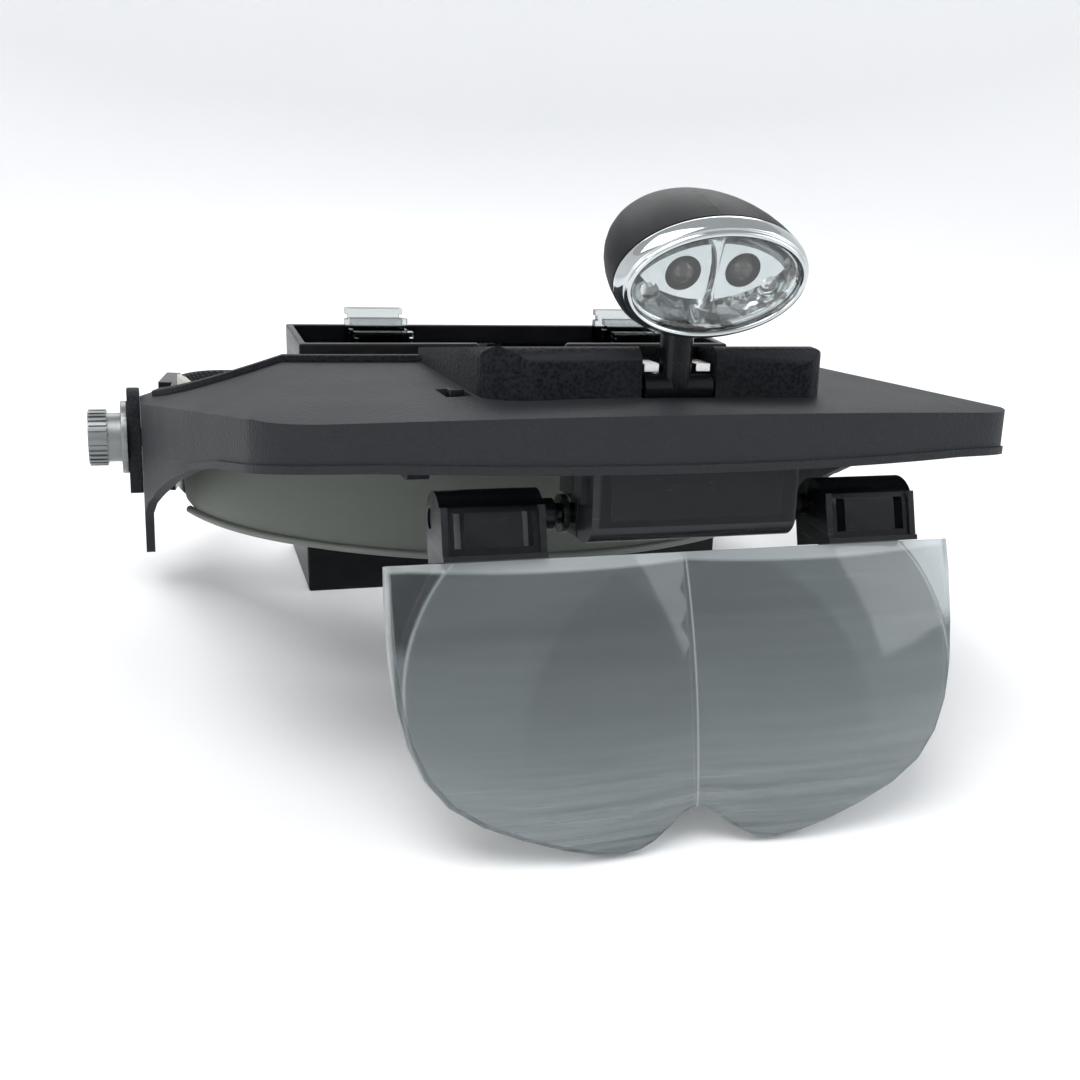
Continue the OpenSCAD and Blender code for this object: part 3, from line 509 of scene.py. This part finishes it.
def webbing():
    """Black woven elastic: fine ribs across, paler yarn tops."""
    s = Shader("black_webbing", Roughness=0.85, Sheen_Weight=0.3)
    rib = s.wave(420, "Z")
    pick = s.wave(300, "DIAGONAL", 0.4)
    weave = s.math("MULTIPLY", rib, pick)
    s.colour(s.blend(s.span(weave, 0.1, 0.8), (0.010, 0.010, 0.011), (0.036, 0.037, 0.039)))
    s.bump((weave, 0.8, 0.35 * MM), (s.noise(2200, 2), 0.4, 0.08 * MM))
    return s.material


def plain(name, first, second, roughness, **sockets):
    """Small inner pieces: two close tones, a light grain and no wear."""
    s = Shader(name, **sockets)
    s.colour(s.blend(s.noise(180, 4), first, second))
    s.roughness(s.noise(220, 3), roughness, roughness + 0.1)
    s.bump((s.noise(1600, 2), 0.25, 0.04 * MM))
    return s.material


PLATE_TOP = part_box("lens_plate")[1].z
GRAINED = grained_plastic()
SMOOTH = smooth_plastic("smooth_black_plastic", (0.0024, 0.0027, 0.0034), 0.16, 0.30)
CASE = smooth_plastic("case_black_plastic", (0.0022, 0.0025, 0.0032), 0.28, 0.42)
POD = pod_plastic()
CHROME = chrome("bright_chrome", False)
REFLECTOR = chrome("faceted_reflector", True)
LENS = lens_acrylic()
SPARE = acrylic("spare_acrylic", (0.55, 0.58, 0.58), (0.75, 0.78, 0.78), 0.01, 0.07)
WINDOW = acrylic("lamp_window", (0.93, 0.95, 0.95), (0.97, 0.98, 0.98), 0.09, 0.12)
STEEL = steel("turned_steel", (6, 1, 1), 0.30, 0.45, (0.21, 0.218, 0.22))
CONTACT = steel("contact_steel", (1, 6, 1), 0.2, 0.32, (0.72, 0.72, 0.70))
LEATHER = leatherette()
HEM = leatherette_hem()
KNIT = knitted_foam()
WEB = webbing()
BOARD = plain("board_green", (0.02, 0.12, 0.04), (0.03, 0.16, 0.06), 0.35)
WRAP = plain("cell_wrap", (0.50, 0.22, 0.03), (0.58, 0.27, 0.04), 0.25)
RESIN = plain("led_resin", (0.010, 0.012, 0.008), (0.026, 0.029, 0.018), 0.04, Coat_Weight=0.4)

BY_SLOT = {
    "grained_black_plastic": GRAINED,
    "smooth_black_plastic": SMOOTH,
    "pod_black": POD,
    "bright_chrome": CHROME,
    "clear_acrylic": LENS,
    "led_resin": RESIN,
    "board_green": BOARD,
    "turned_steel": STEEL,
    "contact_steel": CONTACT,
    "cell_wrap": WRAP,
    "brow_leatherette": LEATHER,
    "sweat_foam": KNIT,
    "black_webbing": WEB,
}
SPARE_PLATES = ["spare_plate_front", "spare_plate_middle", "spare_plate_rear"]
BOTH_SIDES = ("left", "right")

# Nodes whose finish isn't their slot's
SPECIAL = {
    "case_shell": CASE,
    "case_guide_left": CASE,
    "case_guide_right": CASE,
    "pod_window": WINDOW,
    **dict.fromkeys(SPARE_PLATES, SPARE),
}

# Width of the rounded edge in millimetres, and its segments
EDGES = {
    "visor_shell": (1.4, 3),
    "battery_housing": (0.5, 2),
    "battery_lid": (0.3, 2),
    "case_shell": (0.6, 3),
    **dict.fromkeys(["rear_curb", "hanger_block"], (0.4, 2)),
    **{f"{name}_{side}": (0.4, 2)
       for name in ("temple_plate", "clip", "stop_block") for side in BOTH_SIDES},
    **dict.fromkeys(["lens_plate", *SPARE_PLATES], (0.25, 2)),
    **{f"thumb_nut_{side}": (0.18, 2) for side in BOTH_SIDES},
}
DEFAULT_EDGE = (0.2, 2)


def dress_frame():
    """Gives every carried-over CAD node its finish and rounded edges."""
    for part in frame["record"]["subparts"]:
        node = NODES[part["node"]]
        node.data.materials.clear()
        node.data.materials.append(SPECIAL.get(part["node"], BY_SLOT[part["material_slot"]]))
        for poly in node.data.polygons:
            poly.material_index = 0
        width, segments = EDGES.get(part["node"], DEFAULT_EDGE)
        soften_edges(node, width * MM, segments)


# ---------------------------------------------------------------- lamp front

# Lengths here are millimetres in the pod's own frame: x across, z up, -y out of the lamp
JOINTS = {joint["name"]: joint for joint in frame["record"]["behaviour"]["joints"]}
POD_REACH = 26.1  # from the drum's axis up the stem to the pod's middle
POD_TURNS = [("X", -4.2), ("Z", -2), ("Y", -3.5), ("X", 24.2)]  # degrees, outermost first
WINDOW_MIDDLE = (1, -12, 0)  # from the pod's middle
POD_A, POD_B = 18.1, 11.5  # half width and half height of the pod's front oval
LED_X, LED_Z = 5.6, 1.2
EYE_REACH, EYE_HALF_H = 13.4, 5.3  # corner and half height of the eye-shaped shelf
WELL_R, WELL_FLOOR_R = 3.3, 2.7  # round each lamp, at the shelf and at the bottom
DIVIDER_HALF_W = 0.7


def pod_matrix():
    """Carries points from the pod's own frame to their place at rest."""
    stem = Vector(JOINTS["lamp_swivel"]["axis"]).normalized()
    place = Matrix.Translation(Vector(JOINTS["lamp_tilt"]["pos_m"]) + stem * POD_REACH * MM)
    for axis, degrees in POD_TURNS:
        place = place @ Matrix.Rotation(math.radians(degrees), 4, axis)
    return place @ Matrix.Scale(MM, 4) @ Matrix.Translation(WINDOW_MIDDLE)


def place_in_pod(obj, finish):
    """Moves a piece from the pod's own frame to its place, and gives it its finish."""
    obj.data.transform(pod_matrix())
    obj.data.materials.append(finish)
    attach(obj, "lamp_pod")
    return obj


def ovals(profile, steps):
    """Ellipse loops for a profile of (distance in from the pod's edge, depth)."""
    angles = [2 * math.pi * i / steps for i in range(steps)]
    return [
        [((POD_A - inset) * math.cos(a), y, (POD_B - inset) * math.sin(a)) for a in angles]
        for inset, y in profile
    ]


def eye_edge(side, angle):
    """Walks out from one lamp at an angle, to the eye-shaped shelf's outer edge."""
    step = 0.1
    x, z = side * LED_X, LED_Z
    step_x, step_z = step * math.cos(angle), step * math.sin(angle)
    while (x * side > DIVIDER_HALF_W
           and abs(z - LED_Z) < EYE_HALF_H * max(0, 1 - (x / EYE_REACH) ** 2) ** 0.8):
        x, z = x + step_x, z + step_z
    return x, z


def well_edge(side, radius, angles):
    """Circle round one lamp."""
    return [(side * LED_X + radius * math.cos(a), LED_Z + radius * math.sin(a)) for a in angles]


def make_eye(side):
    """Half of the flat shelf round one lamp, with its well."""
    steps = 72
    angles = [2 * math.pi * i / steps for i in range(steps)]
    outer = [eye_edge(side, a) for a in angles]
    outlines = [
        (outer, -0.6),
        (well_edge(side, WELL_R, angles), -0.5),
        (well_edge(side, WELL_FLOOR_R, angles), 3.0),
        (outer, 3.6),
    ]
    loops = [[(x, depth, z) for x, z in outline] for outline, depth in outlines]
    word = "left" if side < 0 else "right"
    place_in_pod(ring(f"lamp_shelf_{word}", loops, smooth=False), CHROME)


def make_divider():
    """Waisted rib between the two lamps, with a rounded crest."""
    bottom, height, steps = -6.2, 14.0, 24
    loops = []
    for k in range(steps + 1):
        t = k / steps
        z = bottom + height * t
        half = 0.55 + 1.75 * abs(2 * t - 0.95) ** 1.6
        crest = -2.3 + 0.9 * abs(2 * t - 1) ** 3
        flank = [(half, 3), (half * 0.9, 0.2), (half * 0.45, crest * 0.75)]
        other = [(-x, y) for x, y in reversed(flank)]
        loops.append([(x, y, z) for x, y in [*flank, (0, crest), *other]])
    place_in_pod(loft("lamp_divider", loops), REFLECTOR)


def make_boss(side):
    """Small domed screw boss at the outer end of the bowl."""
    radius, wall_h, dome_h = 2.3, 2.6, 1.2
    profile = [(0, 0), (radius, 0)]
    for a in (0, 0.4, 0.8, 1.2):
        profile.append((radius * math.cos(a), wall_h + dome_h * math.sin(a)))
    profile.append((0, wall_h + dome_h))
    boss = revolve(f"lamp_boss_{side}", profile, 32)
    facing_out = Matrix.Rotation(math.radians(90), 4, "X")
    boss.data.transform(Matrix.Translation((side * 11.6, 2.6, -2.2)) @ facing_out)
    place_in_pod(boss, REFLECTOR)


def make_lamp_front():
    """Chrome ring and reflector of the pod, finer than the CAD solids they stand for.

    Both outlines are (distance in from the pod's edge, depth).
    """
    bezel = [(0.1, -0.35), (0.0, -0.7), (0.05, -1.5), (0.35, -2.6), (0.8, -3.4), (0.95, -3.55),
             (1.15, -3.5), (1.2, -3.9), (1.4, -4.25), (1.8, -4.4), (2.15, -4.25), (2.3, -3.9),
             (2.3, -0.3), (0.6, -0.35)]
    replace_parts(place_in_pod(ring("chrome_ring", ovals(bezel, 128)), CHROME), "pod_bezel")
    bowl = [(2.5, -2.4), (3.0, -1.2), (4.0, 0.4), (5.4, 1.9), (7.4, 3.0), (10.9, 3.4),
            (10.9, 4.0), (6.0, 4.0), (3.4, 2.4), (2.5, 0.6)]
    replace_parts(place_in_pod(ring("reflector_bowl", ovals(bowl, 96)), REFLECTOR), "pod_reflector")
    for side in (-1, 1):
        make_eye(side)
        make_boss(side)
    make_divider()


# ---------------------------------------------------------------- head ring: pads and webbing

# Ring line of the headband: a wide arc over the brow that runs into a tighter one at each side
RING_FRONT = -10.2 * MM
BROW_R = 105 * MM
SIDE_R = 62 * MM
BROW_SPLIT = math.radians(38)
BROW_C = RING_FRONT + BROW_R
SIDE_X = (BROW_R - SIDE_R) * math.sin(BROW_SPLIT)
SIDE_Y = BROW_C - (BROW_R - SIDE_R) * math.cos(BROW_SPLIT)


def ring_point(turn, out, z):
    """Point on the headband line at an angle round the head, moved outwards, at a height."""
    side = math.copysign(1, turn)
    if abs(turn) <= BROW_SPLIT:
        centre_x, centre_y, radius = 0, BROW_C, BROW_R
    else:
        centre_x, centre_y, radius = side * SIDE_X, SIDE_Y, SIDE_R
    radius += out
    return Vector((centre_x + radius * math.sin(turn), centre_y - radius * math.cos(turn), z))


def ring_turns(reach, count):
    """Angles round the head, spaced evenly along the band."""
    flat = BROW_SPLIT * BROW_R
    total = flat + (reach - BROW_SPLIT) * SIDE_R
    turns = []
    for i in range(count + 1):
        along = (2 * i / count - 1) * total
        extra = max(0, abs(along) - flat) / SIDE_R
        turns.append(math.copysign(min(abs(along), flat) / BROW_R + extra, along))
    return turns


def pad_section(inner, outer, z_low, z_high, count):
    """Closed loop of (out, z): a flat back and a crowned face with pulled-in edges."""
    fullness = 0.6
    loop = []
    height = z_high - z_low
    for i in range(count + 1):
        a = math.pi * i / count
        z = z_low + height * (1 - math.cos(a)) / 2
        loop.append((inner + (outer - inner) * math.sin(a) ** fullness, z))
    for i in range(1, count):
        loop.append((inner, z_high - height * i / count))
    return loop


def inflate(obj, pinned, pressure, cap):
    """Pads the piece out with a short cloth run.

    Points whose number is pinned stay still, and no other moves further than the cap.
    """
    last_frame = 20
    rest = [v.co.copy() for v in obj.data.vertices]
    group = obj.vertex_groups.new(name="hem")
    group.add([i for i in range(len(rest)) if pinned(i)], 1.0, "REPLACE")
    cloth = obj.modifiers.new("cloth", "CLOTH")
    cloth.settings.quality = 6
    cloth.settings.mass = 0.15
    cloth.settings.tension_stiffness = 18
    cloth.settings.compression_stiffness = 12
    cloth.settings.bending_stiffness = 0.4
    cloth.settings.use_pressure = True
    cloth.settings.uniform_pressure_force = pressure
    cloth.settings.vertex_group_mass = "hem"
    cloth.settings.effector_weights.gravity = 0
    SCENE.frame_start, SCENE.frame_end = 1, last_frame
    for number in range(1, last_frame + 1):
        SCENE.frame_set(number)
    apply_modifiers(obj)
    for vertex, start in zip(obj.data.vertices, rest):
        move = vertex.co - start
        if move.length > cap:
            vertex.co = start + move * (cap / move.length)
    SCENE.frame_set(1)


def make_pad(name, node, reach, inner, outer, z_low, z_high, finish):
    """Swept pad on the headband, swollen by cloth pressure, then smoothed.

    It reaches an angle to each side of the brow. Its back lies at inner and its face at outer,
    both counted outwards from the ring line.
    """
    columns, rows = 120, 12
    section = pad_section(inner, outer, z_low, z_high, rows)
    mid = (z_low + z_high) / 2
    loops = []
    for i, turn in enumerate(ring_turns(reach, columns)):
        # The pad thins and loses height over the last five columns at each end
        end = min(1, 0.3 + min(i, columns - i) * 0.14)
        squeeze = 0.86 + 0.14 * end
        loops.append(
            [ring_point(turn, inner + (out - inner) * end, mid + (z - mid) * squeeze)
             for out, z in section]
        )
    pad = loft(name, loops)
    per_loop = len(section)
    inflate(pad, lambda i: i % per_loop == 0 or i % per_loop >= rows, 3.0, 0.5 * MM)
    smooth = pad.modifiers.new("round", "SUBSURF")
    smooth.levels = smooth.render_levels = 1
    apply_modifiers(pad)
    for poly in pad.data.polygons:
        poly.use_smooth = True
    pad.data.materials.append(finish)
    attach(pad, "head_ring")
    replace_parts(pad, node)


def make_hem(reach, out, z, radius):
    """Rolled hem along the brow cover's lower edge."""
    columns, sides = 160, 10
    angles = [2 * math.pi * k / sides for k in range(sides)]
    loops = []
    for turn in ring_turns(reach, columns):
        across = (ring_point(turn, 1, 0) - ring_point(turn, 0, 0)).normalized()
        middle = ring_point(turn, out, z)
        loops.append(
            [middle + across * radius * math.cos(a) + Vector((0, 0, radius * math.sin(a)))
             for a in angles]
        )
    hem = loft("brow_hem", loops)
    hem.data.materials.append(HEM)
    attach(hem, "head_ring")


def make_head_pads():
    """Cover and hem over the brow, and the liner that rests on the head."""
    brow_lo, brow_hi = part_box("brow_pad")
    make_pad("brow_cover", "brow_pad", reach=math.radians(73), inner=-2.7 * MM, outer=-0.5 * MM,
             z_low=brow_lo.z + 0.8 * MM, z_high=brow_hi.z - 0.2 * MM,
             finish=LEATHER)
    make_hem(reach=math.radians(68), out=-1.45 * MM, z=brow_lo.z + 1.0 * MM, radius=0.95 * MM)
    sweat_lo, sweat_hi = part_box("sweat_pad")
    make_pad("sweat_liner", "sweat_pad", reach=math.radians(92), inner=-4.5 * MM, outer=-8.2 * MM,
             z_low=sweat_lo.z + 0.3 * MM, z_high=sweat_hi.z - 0.3 * MM,
             finish=KNIT)


STRAP_LO, STRAP_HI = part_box("case_strap")
STRAP_H = STRAP_HI.z - STRAP_LO.z
STRAP_T = 1.5 * MM
STRAP_Z = (STRAP_LO.z + STRAP_HI.z) / 2  # height of the webbing's middle line
CASE_X = (STRAP_LO.x + STRAP_HI.x) / 2  # the case sits a little off the middle
CASE_BACK = STRAP_LO.y - 0.35 * MM  # the strap lies this far off the case
BUCKLE_X = SIDE_X + SIDE_R - 4.6 * MM  # where a side strap leaves its buckle
BUCKLE_Y = SIDE_Y + 17.5 * MM
SLOT_X = 51.6 * MM  # from the case's middle to where a side strap meets its back
LOOP_R = 13 * MM
LOOP_Y = CASE_BACK + 7 * MM  # where the slack loop begins to turn inwards


def smooth_path(points, steps):
    """Catmull-Rom curve through the points, with a number of steps between each two."""
    path = []
    run_on = [points[0] * 2 - points[1], *points, points[-1] * 2 - points[-2]]
    for k in range(len(points) - 1):
        a, b, c, d = run_on[k : k + 4]
        for i in range(steps):
            t = i / steps
            path.append(
                ((b * 2) + (c - a) * t + (a * 2 - b * 5 + c * 4 - d) * t**2
                 + (b * 3 - a - c * 3 + d) * t**3) / 2
            )
    path.append(points[-1].copy())
    return path


def flat_strap(name, path):
    """Webbing with a soft edge and a slight hollow between its two selvedges."""
    sides = 24
    loops = []
    for i, point in enumerate(path):
        ahead = path[min(i + 1, len(path) - 1)] - path[max(i - 1, 0)]
        across = Vector((-ahead.y, ahead.x, 0)).normalized()
        loop = []
        for k in range(sides):
            a = 2 * math.pi * k / sides
            c, s = math.cos(a), math.sin(a)
            z = math.copysign(abs(s) ** 0.35, s) * STRAP_H / 2
            selvedge = 1 - 0.22 * (1 - min(1, abs(z) / (STRAP_H * 0.4)) ** 4)
            out = math.copysign(abs(c) ** 0.5, c) * STRAP_T / 2 * selvedge
            loop.append(point + across * out + Vector((0, 0, z)))
        loops.append(loop)
    strap = loft(name, loops)
    strap.data.materials.append(WEB)
    return strap


def make_straps():
    """The two slack side straps, and the one across the case's back."""
    for side, word in ((-1, "left"), (1, "right")):
        x, y = side * BUCKLE_X, BUCKLE_Y
        end_x = CASE_X + side * SLOT_X
        line = [(x, y), (x, (y + LOOP_Y) / 2)]
        for degrees in range(0, 129, 32):
            a = math.radians(degrees)
            line.append((x - side * LOOP_R * (1 - math.cos(a)), LOOP_Y + LOOP_R * math.sin(a)))
        line += [(end_x + side * 6 * MM, CASE_BACK + 1.9 * MM), (end_x, CASE_BACK + 1.15 * MM)]
        points = [Vector((across, back, STRAP_Z)) for across, back in line]
        strap = flat_strap(f"webbing_{word}", smooth_path(points, 8))
        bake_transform(strap)
        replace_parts(strap, f"strap_{word}")
    middle_y = (STRAP_LO.y + STRAP_HI.y) / 2
    length, steps = STRAP_HI.x - STRAP_LO.x, 40
    path = [Vector((STRAP_LO.x + length * i / steps, middle_y, STRAP_Z)) for i in range(steps + 1)]
    back = flat_strap("webbing_back", path)
    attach(back, "rear_case")
    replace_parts(back, "case_strap")


make_camera()
make_studio()
dress_frame()
make_lamp_front()
make_head_pads()
make_straps()
